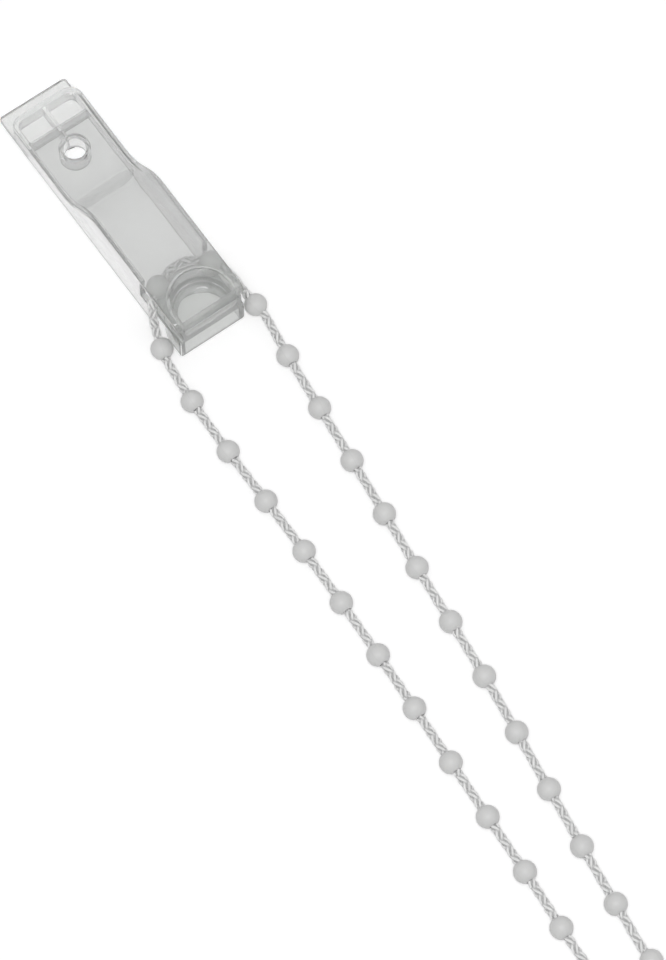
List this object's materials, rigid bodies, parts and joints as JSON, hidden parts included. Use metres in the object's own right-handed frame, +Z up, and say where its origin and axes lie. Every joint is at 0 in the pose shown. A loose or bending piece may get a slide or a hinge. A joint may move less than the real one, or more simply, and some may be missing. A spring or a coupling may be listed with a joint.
{
  "type": "roller blind chain",
  "caption": "Endless ball chain of a roller blind, white balls on a braided cord, threaded round the drum of a clear plastic wall holder, its spare length coiled flat.",
  "frame": {"origin": "on the table, under the middle of the holder", "axes": "+X along the holder from its screw end to the drum, +Z up out of the holder's front face"},
  "size_m": [0.2818, 0.0652, 0.012],
  "materials": {
    "clear_plastic": "clear moulded plastic, glossy, colourless with a faint grey tone",
    "ball_plastic": "white moulded plastic with a soft satin sheen",
    "cord_braid": "white braided polyester cord"
  },
  "bodies": {
    "root": {"chain_holder": "clear_plastic", "chain_cord": "cord_braid", "chain_ball_01": "ball_plastic", "chain_ball_02": "ball_plastic", "chain_ball_03": "ball_plastic", "chain_ball_04": "ball_plastic", "chain_ball_05": "ball_plastic", "chain_ball_06": "ball_plastic", "chain_ball_07": "ball_plastic", "chain_ball_08": "ball_plastic", "chain_ball_09": "ball_plastic", "chain_ball_10": "ball_plastic", "chain_ball_11": "ball_plastic", "chain_ball_12": "ball_plastic", "chain_ball_13": "ball_plastic", "chain_ball_14": "ball_plastic", "chain_ball_15": "ball_plastic", "chain_ball_16": "ball_plastic", "chain_ball_17": "ball_plastic", "chain_ball_18": "ball_plastic", "chain_ball_19": "ball_plastic", "chain_ball_20": "ball_plastic", "chain_ball_21": "ball_plastic", "chain_ball_22": "ball_plastic", "chain_ball_23": "ball_plastic", "chain_ball_24": "ball_plastic", "chain_ball_25": "ball_plastic", "chain_ball_26": "ball_plastic", "chain_ball_27": "ball_plastic", "chain_ball_28": "ball_plastic", "chain_ball_29": "ball_plastic", "chain_ball_30": "ball_plastic", "coiled_chain": "ball_plastic"}
  },
  "joints": []
}
